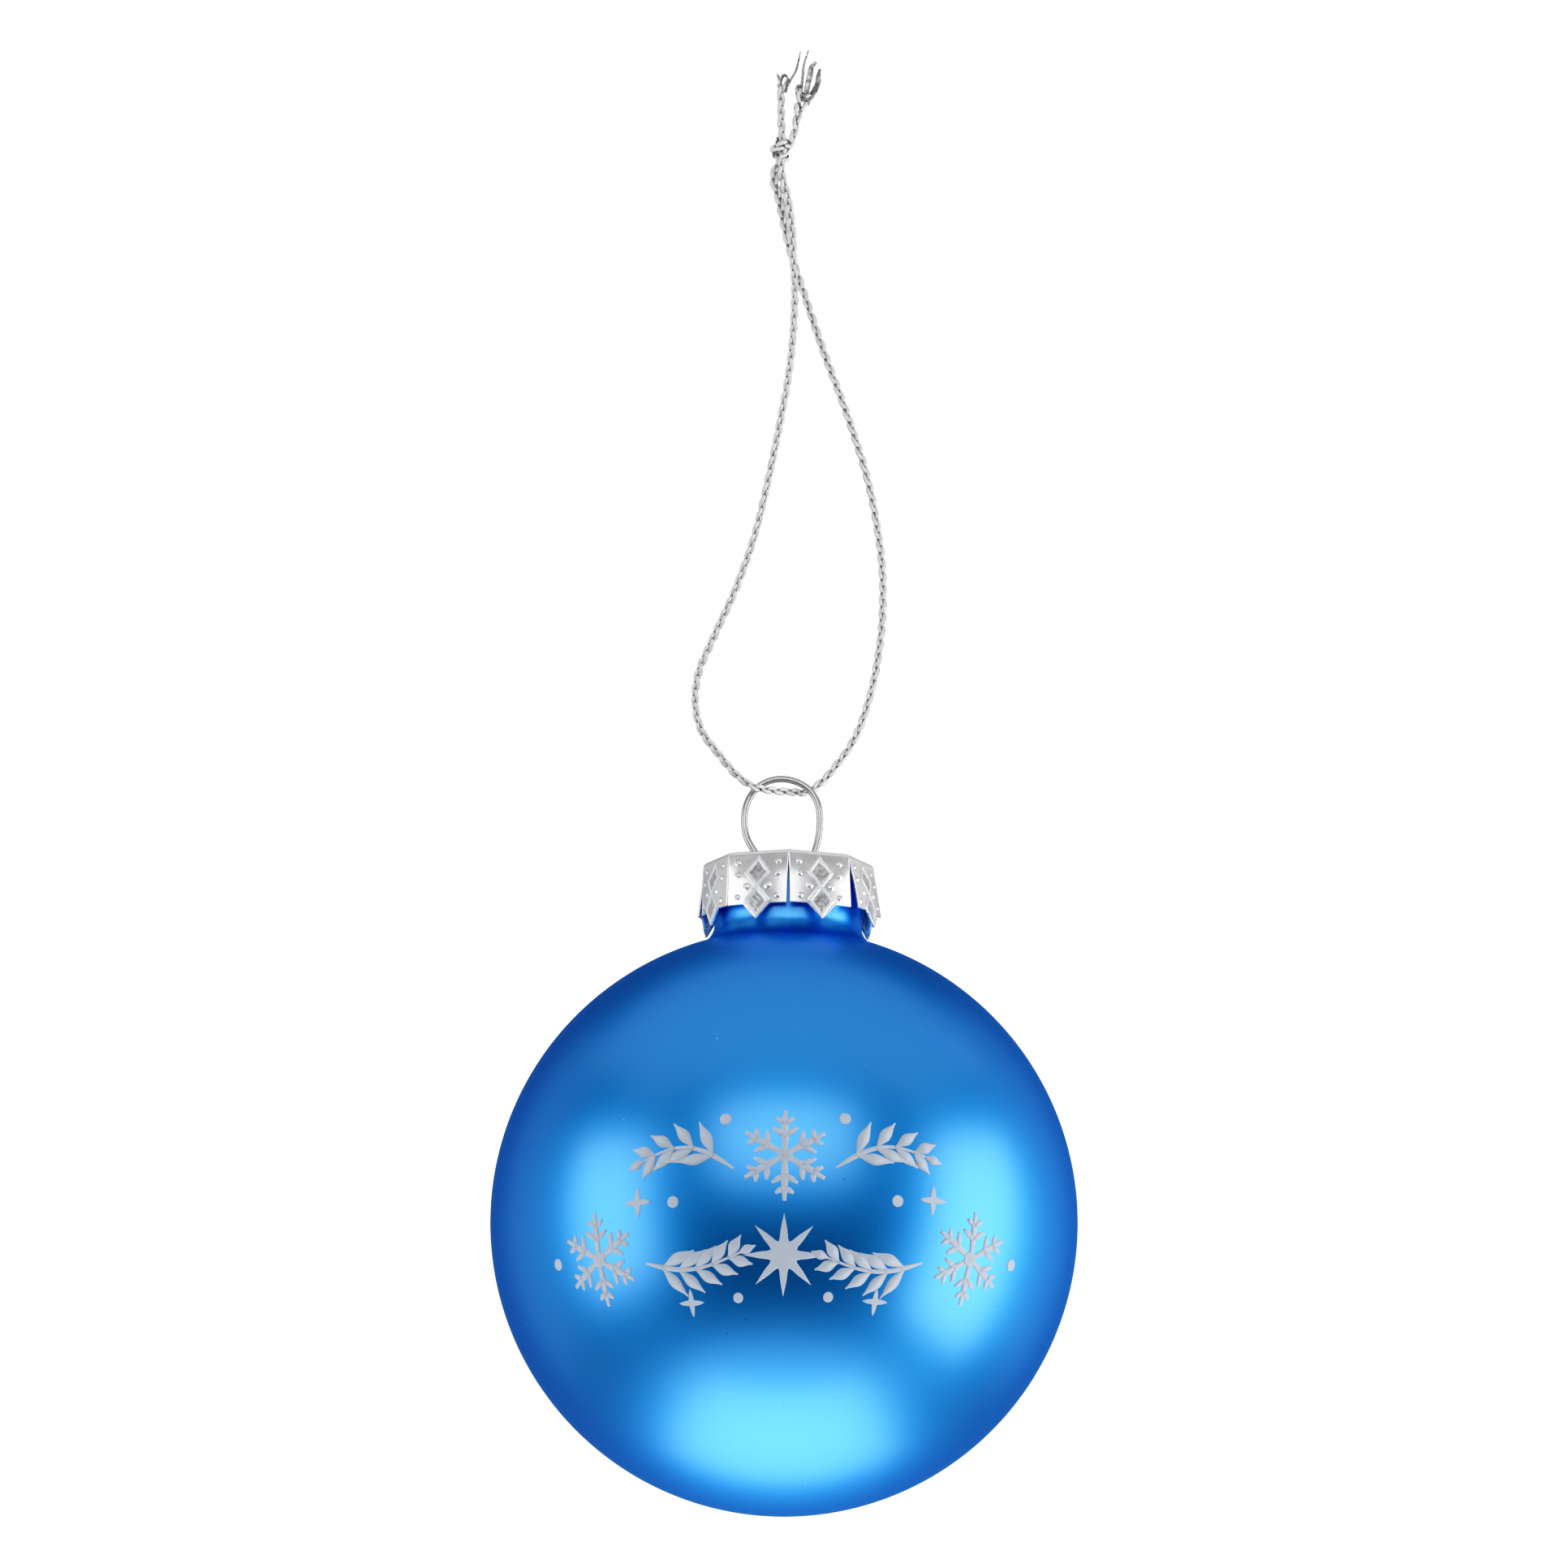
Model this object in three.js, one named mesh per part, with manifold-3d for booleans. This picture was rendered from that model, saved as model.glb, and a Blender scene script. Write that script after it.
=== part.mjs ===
// Glass ball ornament: a thin-walled glass ball with a short neck, a stamped eight-petal cap,
// a sprung wire hanger and a knotted loop of metallic cord.
// Millimetres, +Z up, +Y away from the viewer. The origin is where the loop of cord is hung,
// just below the knot, straight above the ball's centre.
// Every height below is measured from the ball's centre, and one group lowers the whole object.

import * as THREE from 'three';
import { mergeVertices } from 'three/addons/utils/BufferGeometryUtils.js';
import Module from 'manifold-3d';

const wasm = await Module();
wasm.setup();

const HANG_HEIGHT = 98;
const MERGE_DISTANCE = 1e-4;

// Glass ball
const BALL_RADIUS = 30;
const GLASS_WALL = 0.7;
const NECK_RADIUS = 7.5;
const NECK_TOP = 36.7;
const NECK_FILLET = 2.5;
const BALL_SIDES = 40;
const BALL_ARC_STEPS = 14;
const FILLET_STEPS = 3;

// Cap
const CAP_TOP = 37.3;
const CAP_SHEET = 0.3;
const CAP_CORNER_RADIUS = 8.7;
const PETAL_COUNT = 8;
const PETAL_HALF_WIDTH_TOP = 3.1;
const PETAL_HALF_WIDTH_BOTTOM = 3.22;
const PETAL_HEIGHT = 5.6;
const PETAL_POINT = 1.6;
const PETAL_POINT_HALF_WIDTH = 1.5;
const PETAL_FLARE = THREE.MathUtils.degToRad(5);
const WIRE_SLOT_CENTRES = [-3.3, 2.75];
const WIRE_SLOT_LENGTH = 2.2;
const WIRE_SLOT_WIDTH = 1.1;
const WIRE_SLOT_END_STEPS = 6;

// Wire hanger: left leg tip, ring over the top, right leg tip, as [x, z]
const WIRE_DIAMETER = 0.7;
const WIRE_SIDES = 8;
const WIRE_STEPS = 76;
const WIRE_ROUTE = [
  [-5.1, 18.3], [-5.7, 20.4], [-5.8, 23.5], [-5.5, 27], [-4.8, 30.5], [-3.75, 33.6], [-2.95, 36],
  [-2.8, 37.3], [-3.5, 38.5], [-4.3, 39.9], [-4.6, 41.7], [-4.35, 43.5], [-3.45, 45.05],
  [-2.2, 45.85], [-0.75, 46.11], [0.75, 45.8], [2.02, 45],
  [2.88, 43.6], [3.14, 41.8], [2.98, 39.9], [2.66, 38.6], [2.25, 37.3], [2.4, 36],
  [3.25, 33.6], [4.4, 30.5], [5.3, 27], [5.7, 23.5], [5.65, 20.4], [5.1, 18.3],
];

// Cord: one length of it, drawn as its loop, the knot and the two tails above the knot
const CORD_DIAMETER = 0.75;
const CORD_SIDES = 8;
const LOOP_STEPS = 66;
const TAIL_STEPS = 3;
const KNOT_CENTRE = [-1.93, 0, 111.3];
const KNOT_HALF_WIDTH = 1.1;
const KNOT_HALF_HEIGHT = 1.5;
const KNOT_SIDES = 12;
const KNOT_RINGS = 6;
const LOOP_ROUTE = [
  [-1.62, -0.26, 109.35], [-1.0, -0.27, 106.8], [-0.55, -0.38, 103.6], [-0.36, -0.52, 100.6],
  [-0.16, -0.5, 97.4], [-0.25, -0.5, 93], [-0.7, -0.5, 88], [-1.6, -0.6, 82.5],
  [-2.6, -0.75, 77.1], [-4.0, -0.9, 71], [-5.9, -1.1, 65.4], [-8.2, -1.35, 60.1],
  [-9.5, -1.5, 56.8], [-9.8, -1.65, 53.6], [-9.1, -1.85, 50.7], [-7.2, -2.05, 48.1],
  [-5.2, -2.2, 45.85], [-3.5, -1.98, 44.85], [-1.75, -1.01, 44.72], [0, 0, 44.8],
  [1.7, 0.98, 44.98], [3.2, 1.72, 46.1], [4.9, 1.95, 48.15], [6.6, 1.85, 50.8],
  [7.8, 1.65, 54.1], [8.6, 1.45, 57.5], [9.2, 1.25, 62.3], [9.25, 1.0, 67.4],
  [8.9, 0.85, 71], [7.65, 0.75, 77.4], [5.5, 0.6, 84.1], [2.95, 0.5, 90.8],
  [0.65, 0.5, 97.4], [-0.42, 0.52, 100.6], [-1.2, 0.38, 103.8], [-1.85, 0.27, 106.8],
  [-2.4, 0.26, 109.35],
];
const LEFT_TAIL_ROUTE = [[-1.65, 0, 113.15], [-1.75, 0.1, 115], [-1.8, 0.05, 117.2], [-1.85, 0, 119.4]];
const RIGHT_TAIL_ROUTE = [[-0.55, 0, 113.15], [-0.05, -0.1, 115.6], [0.65, -0.1, 118.3], [1.4, 0, 121.4]];

function blueGlass() {
  return new THREE.MeshStandardMaterial({ color: 0x0b3fae, roughness: 0.3, metalness: 0.6 });
}

function stampedSheet() {
  return new THREE.MeshStandardMaterial({ color: 0xd9dade, roughness: 0.25, metalness: 1 });
}

function brightWire() {
  return new THREE.MeshStandardMaterial({ color: 0xc9cacb, roughness: 0.15, metalness: 1 });
}

function metallicCord() {
  return new THREE.MeshStandardMaterial({ color: 0xd4d5d8, roughness: 0.35, metalness: 0.8 });
}

function toSolid(geometry) {
  const bare = geometry.clone();
  bare.deleteAttribute('normal');
  bare.deleteAttribute('uv');
  const merged = mergeVertices(bare, MERGE_DISTANCE);
  return new wasm.Manifold(new wasm.Mesh({
    numProp: 3,
    vertProperties: new Float32Array(merged.attributes.position.array),
    triVerts: new Uint32Array(merged.index.array),
  }));
}

function toGeometry(solid) {
  const mesh = solid.getMesh();
  const geometry = new THREE.BufferGeometry();
  geometry.setAttribute('position', new THREE.BufferAttribute(mesh.vertProperties, 3));
  geometry.setIndex(new THREE.BufferAttribute(mesh.triVerts, 1));
  geometry.computeVertexNormals();
  return geometry;
}

function polygonShape(sides, radius) {
  const corners = [];
  for (let i = 0; i < sides; i += 1) {
    const angle = (i * 2 * Math.PI) / sides;
    corners.push(new THREE.Vector2(radius * Math.cos(angle), radius * Math.sin(angle)));
  }
  return new THREE.Shape(corners);
}

function tubeAlong(points, diameter, sides, steps) {
  const path = new THREE.CatmullRomCurve3(points.map((p) => new THREE.Vector3(...p)), false, 'centripetal');
  return new THREE.ExtrudeGeometry(polygonShape(sides, diameter / 2), { steps, extrudePath: path });
}

// One skin of the ball: round bottom, fillet into the neck, straight neck. inset is 0 for the
// outer skin and the wall's thickness for the inner one.
function skinProfile(inset) {
  const filletX = NECK_RADIUS + NECK_FILLET;
  const filletZ = Math.sqrt((BALL_RADIUS + NECK_FILLET) ** 2 - filletX ** 2);
  const joinAngle = Math.atan2(filletZ, filletX);
  const points = [];
  for (let i = 0; i <= BALL_ARC_STEPS; i += 1) {
    const angle = -Math.PI / 2 + (i / BALL_ARC_STEPS) * (joinAngle + Math.PI / 2);
    const radius = BALL_RADIUS - inset;
    const x = i === 0 ? 0 : radius * Math.cos(angle);
    points.push(new THREE.Vector2(x, radius * Math.sin(angle)));
  }
  for (let i = 1; i <= FILLET_STEPS; i += 1) {
    const angle = joinAngle * (1 - i / FILLET_STEPS);
    const radius = NECK_FILLET + inset;
    points.push(new THREE.Vector2(filletX - radius * Math.cos(angle), filletZ - radius * Math.sin(angle)));
  }
  points.push(new THREE.Vector2(NECK_RADIUS - inset, NECK_TOP));
  return points;
}

function glassBall() {
  const profile = [...skinProfile(0), ...skinProfile(GLASS_WALL).reverse()];
  const geometry = new THREE.LatheGeometry(profile, BALL_SIDES);
  geometry.rotateX(Math.PI / 2);
  return new THREE.Mesh(geometry, blueGlass());
}

function capPlate() {
  const geometry = new THREE.ExtrudeGeometry(polygonShape(PETAL_COUNT, CAP_CORNER_RADIUS), {
    depth: CAP_SHEET, bevelEnabled: false,
  });
  geometry.translate(0, 0, CAP_TOP - CAP_SHEET);
  return toSolid(geometry);
}

// A petal hangs from one side of the plate: a flat flap with a pointed lower edge, leaning outwards.
function capPetal(index) {
  const outline = new THREE.Shape([
    new THREE.Vector2(-PETAL_HALF_WIDTH_TOP, 0),
    new THREE.Vector2(-PETAL_HALF_WIDTH_BOTTOM, -PETAL_HEIGHT),
    new THREE.Vector2(-PETAL_POINT_HALF_WIDTH, -PETAL_HEIGHT),
    new THREE.Vector2(0, -PETAL_HEIGHT - PETAL_POINT),
    new THREE.Vector2(PETAL_POINT_HALF_WIDTH, -PETAL_HEIGHT),
    new THREE.Vector2(PETAL_HALF_WIDTH_BOTTOM, -PETAL_HEIGHT),
    new THREE.Vector2(PETAL_HALF_WIDTH_TOP, 0),
  ]);
  const geometry = new THREE.ExtrudeGeometry(outline, { depth: CAP_SHEET, bevelEnabled: false });
  const apothem = CAP_CORNER_RADIUS * Math.cos(Math.PI / PETAL_COUNT);
  geometry.translate(0, 0, -CAP_SHEET);
  geometry.rotateX(Math.PI / 2 - PETAL_FLARE);
  geometry.translate(0, -apothem, CAP_TOP);
  geometry.rotateZ(((index + 0.5) * 2 * Math.PI) / PETAL_COUNT);
  return toSolid(geometry);
}

function wireSlot(centreX) {
  const half = (WIRE_SLOT_LENGTH - WIRE_SLOT_WIDTH) / 2;
  const outline = new THREE.Shape();
  outline.absarc(centreX + half, 0, WIRE_SLOT_WIDTH / 2, -Math.PI / 2, Math.PI / 2, false);
  outline.absarc(centreX - half, 0, WIRE_SLOT_WIDTH / 2, Math.PI / 2, (3 * Math.PI) / 2, false);
  const geometry = new THREE.ExtrudeGeometry(outline, {
    depth: 3 * CAP_SHEET, bevelEnabled: false, curveSegments: WIRE_SLOT_END_STEPS,
  });
  geometry.translate(0, 0, CAP_TOP - 2 * CAP_SHEET);
  return toSolid(geometry);
}

function cap() {
  let solid = capPlate();
  for (let i = 0; i < PETAL_COUNT; i += 1) {
    solid = solid.add(capPetal(i));
  }
  for (const centreX of WIRE_SLOT_CENTRES) {
    solid = solid.subtract(wireSlot(centreX));
  }
  return new THREE.Mesh(toGeometry(solid), stampedSheet());
}

function wireHanger() {
  const route = WIRE_ROUTE.map(([x, z]) => [x, 0, z]);
  return new THREE.Mesh(tubeAlong(route, WIRE_DIAMETER, WIRE_SIDES, WIRE_STEPS), brightWire());
}

function cordStretch(route, steps) {
  return new THREE.Mesh(tubeAlong(route, CORD_DIAMETER, CORD_SIDES, steps), metallicCord());
}

function cordKnot() {
  const profile = [];
  for (let i = 0; i <= KNOT_RINGS; i += 1) {
    const angle = -Math.PI / 2 + (i * Math.PI) / KNOT_RINGS;
    const x = i === 0 || i === KNOT_RINGS ? 0 : KNOT_HALF_WIDTH * Math.cos(angle);
    profile.push(new THREE.Vector2(x, KNOT_HALF_HEIGHT * Math.sin(angle)));
  }
  const geometry = new THREE.LatheGeometry(profile, KNOT_SIDES);
  geometry.rotateX(Math.PI / 2);
  const knot = new THREE.Mesh(geometry, metallicCord());
  knot.position.set(...KNOT_CENTRE);
  return knot;
}

function named(name, mesh) {
  mesh.name = name;
  return mesh;
}

const ornament = new THREE.Group();
ornament.position.z = -HANG_HEIGHT;
ornament.add(
  named('glass_ball', glassBall()),
  named('cap', cap()),
  named('wire_hanger', wireHanger()),
  named('cord_loop', cordStretch(LOOP_ROUTE, LOOP_STEPS)),
  named('cord_knot', cordKnot()),
  named('cord_tail_left', cordStretch(LEFT_TAIL_ROUTE, TAIL_STEPS)),
  named('cord_tail_right', cordStretch(RIGHT_TAIL_ROUTE, TAIL_STEPS)),
);

const group = new THREE.Group();
group.add(ornament);

export default group;
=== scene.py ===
"""The looks of the glass ball ornament, in Blender 4.5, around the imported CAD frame.

Lengths are in millimetres with the height counted from the ball's centre, as the ornament is measured.
placed() turns such a point into the frame, which is in metres with its origin at the hang point, HANG_HEIGHT
above that centre.
"""

import math

import bmesh
import bpy
from mathutils import Matrix, Vector
from mathutils.geometry import delaunay_2d_cdt


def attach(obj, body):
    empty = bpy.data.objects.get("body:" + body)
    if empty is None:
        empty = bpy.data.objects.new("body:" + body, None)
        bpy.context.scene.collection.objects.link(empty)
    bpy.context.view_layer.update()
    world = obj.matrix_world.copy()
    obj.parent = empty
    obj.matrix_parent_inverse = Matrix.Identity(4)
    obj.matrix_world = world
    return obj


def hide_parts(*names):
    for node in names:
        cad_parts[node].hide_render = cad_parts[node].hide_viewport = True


MM = 0.001
UP = Vector((0, 0, 1))

HANG_HEIGHT = 98.0
BALL_RADIUS = 30.0
GLASS_WALL = 0.7
NECK_RADIUS = 7.5
NECK_TOP = 36.7
NECK_FILLET = 2.5

CAP_TOP = 37.3
CAP_CORNER_RADIUS = 8.7
CAP_SHEET = 0.25
PETALS = 8
PETAL_HEIGHT = 5.6
PETAL_POINT = 1.6
PETAL_POINT_HALF_WIDTH = 1.5

WIRE_DIAMETER = 0.7

# the hanger's wire, [x, height], from the foot of one leg through the ring to the foot of the other
WIRE_ROUTE = [
    [-5.1, 18.3], [-5.7, 20.4], [-5.8, 23.5], [-5.5, 27], [-4.8, 30.5], [-3.75, 33.6], [-2.95, 36],
    [-2.8, 37.3], [-3.5, 38.5], [-4.3, 39.9], [-4.6, 41.7], [-4.35, 43.5], [-3.45, 45.05], [-2.2, 45.85],
    [-0.75, 46.11], [0.75, 45.8], [2.02, 45], [2.88, 43.6], [3.14, 41.8], [2.98, 39.9], [2.66, 38.6],
    [2.25, 37.3], [2.4, 36], [3.25, 33.6], [4.4, 30.5], [5.3, 27], [5.7, 23.5], [5.65, 20.4], [5.1, 18.3],
]

# the cord, [x, y, height], in three stretches that follow on each other through the knot
LEFT_TAIL_ROUTE = [[-1.84, 0, 118.8], [-1.8, 0.05, 117.2], [-1.75, 0.1, 115], [-1.65, 0, 113.15]]
LOOP_ROUTE = [
    [-1.62, -0.26, 109.35], [-1.0, -0.27, 106.8], [-0.55, -0.38, 103.6], [-0.36, -0.52, 100.6],
    [-0.16, -0.5, 97.4], [-0.25, -0.5, 93], [-0.7, -0.5, 88], [-1.6, -0.6, 82.5], [-2.6, -0.75, 77.1],
    [-4.0, -0.9, 71], [-5.9, -1.1, 65.4], [-8.2, -1.35, 60.1], [-9.5, -1.5, 56.8], [-9.8, -1.65, 53.6],
    [-9.1, -1.85, 50.7], [-7.2, -2.05, 48.1], [-5.2, -2.2, 45.85], [-3.5, -1.98, 44.85],
    [-1.75, -1.01, 44.72], [0, 0, 44.8], [1.7, 0.98, 44.98], [3.2, 1.72, 46.1], [4.9, 1.95, 48.15],
    [6.6, 1.85, 50.8], [7.8, 1.65, 54.1], [8.6, 1.45, 57.5], [9.2, 1.25, 62.3], [9.25, 1.0, 67.4],
    [8.9, 0.85, 71], [7.65, 0.75, 77.4], [5.5, 0.6, 84.1], [2.95, 0.5, 90.8], [0.65, 0.5, 97.4],
    [-0.42, 0.52, 100.6], [-1.2, 0.38, 103.8], [-1.85, 0.27, 106.8], [-2.4, 0.26, 109.35],
]
RIGHT_TAIL_ROUTE = [[-0.55, 0, 113.15], [-0.05, -0.1, 115.6], [0.55, -0.1, 117.9]]
KNOT_CENTRE = Vector((-1.86, 0, 111.45))


# ---------------------------------------------------------------- shared tools


def placed(point):
    """A measured point in the frame, in metres."""
    return (point[0] * MM, point[1] * MM, (point[2] - HANG_HEIGHT) * MM)


def add_piece(name, points, faces, materials, body, stands_for=(), picks=None):
    """A smooth-shaded mesh piece that rides on a body; picks gives each face's material."""
    mesh = bpy.data.meshes.new(name)
    mesh.from_pydata([placed(p) for p in points], [], faces)
    for material in materials:
        mesh.materials.append(material)
    mesh.polygons.foreach_set("use_smooth", [True] * len(mesh.polygons))
    if picks:
        mesh.polygons.foreach_set("material_index", picks)
    mesh.update()
    piece = bpy.data.objects.new(name, mesh)
    bpy.context.scene.collection.objects.link(piece)
    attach(piece, body)
    if stands_for:
        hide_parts(*stands_for)
    return piece


def between(a, b, share):
    return a + (b - a) * share


def eased(value):
    """0 up to 0, 1 from 1, and smooth between them."""
    value = min(max(value, 0.0), 1.0)
    return value * value * (3 - 2 * value)


def smooth_route(route, step):
    """Points about a step apart along the centripetal Catmull-Rom curve through a route."""
    knots = [Vector(p) for p in route]
    knots = [2 * knots[0] - knots[1], *knots, 2 * knots[-1] - knots[-2]]
    dense = []
    for a, b, c, d in zip(knots, knots[1:], knots[2:], knots[3:]):
        t1 = math.sqrt((b - a).length)
        t2 = t1 + math.sqrt((c - b).length)
        t3 = t2 + math.sqrt((d - c).length)
        parts = max(4, math.ceil((c - b).length / step * 2))
        for i in range(parts):
            t = between(t1, t2, i / parts)
            ab = between(a, b, t / t1)
            bc = between(b, c, (t - t1) / (t2 - t1))
            cd = between(c, d, (t - t2) / (t3 - t2))
            first = between(ab, bc, t / t2)
            second = between(bc, cd, (t - t1) / (t3 - t1))
            dense.append(between(first, second, (t - t1) / (t2 - t1)))
    dense.append(knots[-2])
    return evenly(dense, step)


def evenly(line, step):
    """The same line with its points a step apart."""
    lengths = [0.0]
    for a, b in zip(line, line[1:]):
        lengths.append(lengths[-1] + (b - a).length)
    count = max(2, round(lengths[-1] / step))
    out, i = [], 0
    for k in range(count + 1):
        at = lengths[-1] * k / count
        while i < len(line) - 2 and lengths[i + 1] < at:
            i += 1
        share = (at - lengths[i]) / max(lengths[i + 1] - lengths[i], 1e-9)
        out.append(between(line[i], line[i + 1], share))
    return out


def line_length(line):
    return sum((b - a).length for a, b in zip(line, line[1:]))


def sides_and_fronts(line, facing):
    """The side and front at each point of a line, both square to it; facing(i) is where the front looks."""
    made = []
    for i in range(len(line)):
        along = (line[min(i + 1, len(line) - 1)] - line[max(i - 1, 0)]).normalized()
        front = facing(i)
        front = (front - along * front.dot(along)).normalized()
        made.append((along.cross(front), front))
    return made


def sweep(rings, points, faces):
    """Adds a closed tube through rings of points, with a fan at each end."""
    base, around = len(points), len(rings[0])
    for ring in rings:
        points.extend(ring)
    for j in range(len(rings) - 1):
        for i in range(around):
            a = base + j * around + i
            b = base + j * around + (i + 1) % around
            faces.append((a, b, b + around, a + around))
    for ring, first in ((rings[0], base), (rings[-1], base + (len(rings) - 1) * around)):
        points.append(sum(ring, Vector()) / around)
        middle = len(points) - 1
        for i in range(around):
            pair = (first + i, first + (i + 1) % around)
            faces.append((middle, *(pair if first != base else pair[::-1])))


def oval_ring(centre, side, front, across, deep, around):
    ring = []
    for i in range(around):
        angle = 2 * math.pi * i / around
        ring.append(centre + side * (across * math.cos(angle)) + front * (deep * math.sin(angle)))
    return ring


# ---------------------------------------------------------------- materials


def new_material(name):
    material = bpy.data.materials.new(name)
    material.use_nodes = True
    nodes = material.node_tree.nodes
    return material, nodes, material.node_tree.links, nodes["Principled BSDF"]


def object_coordinates(nodes):
    return nodes.new("ShaderNodeTexCoord").outputs["Object"]


def add_bump(nodes, links, shader, height, depth, strength):
    """Bumps a shader by a height output that is a depth in metres from 0 to 1."""
    bump = nodes.new("ShaderNodeBump")
    bump.inputs["Distance"].default_value = depth
    bump.inputs["Strength"].default_value = strength
    links.new(height, bump.inputs["Height"])
    links.new(bump.outputs["Normal"], shader.inputs["Normal"])


def add_noise(nodes, links, scale, detail=2.0):
    noise = nodes.new("ShaderNodeTexNoise")
    noise.inputs["Scale"].default_value = scale
    noise.inputs["Detail"].default_value = detail
    links.new(object_coordinates(nodes), noise.inputs["Vector"])
    return noise.outputs["Fac"]


def add_range(nodes, links, value, low, high, to_low, to_high):
    mapped = nodes.new("ShaderNodeMapRange")
    for socket, number in (("From Min", low), ("From Max", high), ("To Min", to_low), ("To Max", to_high)):
        mapped.inputs[socket].default_value = number
    links.new(value, mapped.inputs["Value"])
    return mapped.outputs["Result"]


def add_specks(nodes, links, scale, radius, share):
    """1 in sparse round specks and 0 elsewhere; share is how many of the cells have one."""
    cells = nodes.new("ShaderNodeTexVoronoi")
    cells.inputs["Scale"].default_value = scale
    links.new(object_coordinates(nodes), cells.inputs["Vector"])
    near = nodes.new("ShaderNodeMath")
    near.operation = "LESS_THAN"
    near.inputs[1].default_value = radius * scale
    links.new(cells.outputs["Distance"], near.inputs[0])
    split = nodes.new("ShaderNodeSeparateColor")
    links.new(cells.outputs["Color"], split.inputs["Color"])
    chosen = nodes.new("ShaderNodeMath")
    chosen.operation = "LESS_THAN"
    chosen.inputs[1].default_value = share
    links.new(split.outputs["Red"], chosen.inputs[0])
    both = nodes.new("ShaderNodeMath")
    both.operation = "MULTIPLY"
    links.new(near.outputs[0], both.inputs[0])
    links.new(chosen.outputs[0], both.inputs[1])
    return both.outputs[0]


def mix_colours(nodes, links, factor, first, second):
    """first and second are colours or outputs."""
    mix = nodes.new("ShaderNodeMix")
    mix.data_type = "RGBA"
    links.new(factor, mix.inputs["Factor"])
    for socket, colour in ((mix.inputs[6], first), (mix.inputs[7], second)):
        if isinstance(colour, tuple):
            socket.default_value = (*colour, 1)
        else:
            links.new(colour, socket)
    return mix.outputs[2]


LACQUER_BLUE = (0.0, 0.33, 1.0)


def lacquer_material():
    """Satin blue lacquer over silvered glass, with a few tiny specks in it."""
    material, nodes, links, shader = new_material("blue_lacquer")
    light_specks = add_specks(nodes, links, 420, 0.00009, 0.14)
    dark_specks = add_specks(nodes, links, 510, 0.00008, 0.16)
    colour = mix_colours(nodes, links, dark_specks, LACQUER_BLUE, (0.0, 0.06, 0.2))
    colour = mix_colours(nodes, links, light_specks, colour, (0.35, 0.6, 0.95))
    links.new(colour, shader.inputs["Base Color"])
    shader.inputs["Metallic"].default_value = 1.0
    shader.inputs["Roughness"].default_value = 0.42
    shader.inputs["Specular Tint"].default_value = (0.05, 0.33, 1.0, 1)
    shader.inputs["Coat Weight"].default_value = 0.22
    shader.inputs["Coat Roughness"].default_value = 0.32
    shader.inputs["Coat IOR"].default_value = 4.0
    add_bump(nodes, links, shader, add_noise(nodes, links, 900, 3.0), 0.00002, 0.12)
    return material


def silvering_material():
    """The ball's inside and the lip of its neck."""
    material, nodes, links, shader = new_material("inner_silvering")
    tone = add_range(nodes, links, add_noise(nodes, links, 220), 0.3, 0.7, 0.0, 1.0)
    colour = mix_colours(nodes, links, tone, (0.62, 0.64, 0.68), (0.74, 0.76, 0.8))
    links.new(colour, shader.inputs["Base Color"])
    shader.inputs["Metallic"].default_value = 1.0
    shader.inputs["Roughness"].default_value = 0.22
    return material


def ink_material():
    material, nodes, links, shader = new_material("silver_ink")
    tone = add_range(nodes, links, add_noise(nodes, links, 700, 4.0), 0.3, 0.7, 0.0, 1.0)
    colour = mix_colours(nodes, links, tone, (0.56, 0.64, 0.77), (0.61, 0.69, 0.82))
    links.new(colour, shader.inputs["Base Color"])
    shader.inputs["Roughness"].default_value = 0.6
    return material


def sheet_material():
    """Bright stamped sheet, faintly uneven."""
    material, nodes, links, shader = new_material("stamped_sheet")
    uneven = add_noise(nodes, links, 500, 3.0)
    links.new(add_range(nodes, links, uneven, 0.3, 0.7, 0.22, 0.3), shader.inputs["Roughness"])
    shader.inputs["Base Color"].default_value = (1.0, 1.0, 1.0, 1)
    shader.inputs["Metallic"].default_value = 0.6
    add_bump(nodes, links, shader, uneven, 0.00006, 0.25)
    return material


def field_material():
    """The hammered ground inside the diamonds, its mottling darker in the dents' hollows as painted shade; also
    the painted shade lines round the borders and dots.
    """
    material, nodes, links, shader = new_material("hammered_field_and_shade_line")
    dents = add_noise(nodes, links, 2600, 2.0)
    tone = add_range(nodes, links, dents, 0.35, 0.65, 0.0, 1.0)
    # the tone follows the dents, darker in their hollows: painted shade
    colour = mix_colours(nodes, links, tone, (0.5, 0.5, 0.51), (0.95, 0.95, 0.96))
    links.new(colour, shader.inputs["Base Color"])
    shader.inputs["Metallic"].default_value = 0.7
    shader.inputs["Roughness"].default_value = 0.3
    add_bump(nodes, links, shader, dents, 0.0001, 0.5)
    return material


def border_material():
    """The raised borders of the diamonds, a whiter, less metallic copy of the sheet: a painted highlight."""
    material, nodes, links, shader = new_material("painted_highlight_border")
    roughness = add_range(nodes, links, add_noise(nodes, links, 900), 0.3, 0.7, 0.25, 0.4)
    links.new(roughness, shader.inputs["Roughness"])
    shader.inputs["Base Color"].default_value = (1.0, 1.0, 1.0, 1)
    # less metallic than the sheet, so the ridges read white: painted highlight
    shader.inputs["Metallic"].default_value = 0.15
    return material


def wire_material():
    material, nodes, links, shader = new_material("plated_wire")
    roughness = add_range(nodes, links, add_noise(nodes, links, 600), 0.3, 0.7, 0.24, 0.34)
    links.new(roughness, shader.inputs["Roughness"])
    shader.inputs["Base Color"].default_value = (0.52, 0.53, 0.54, 1)
    shader.inputs["Metallic"].default_value = 0.7
    return material


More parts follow.
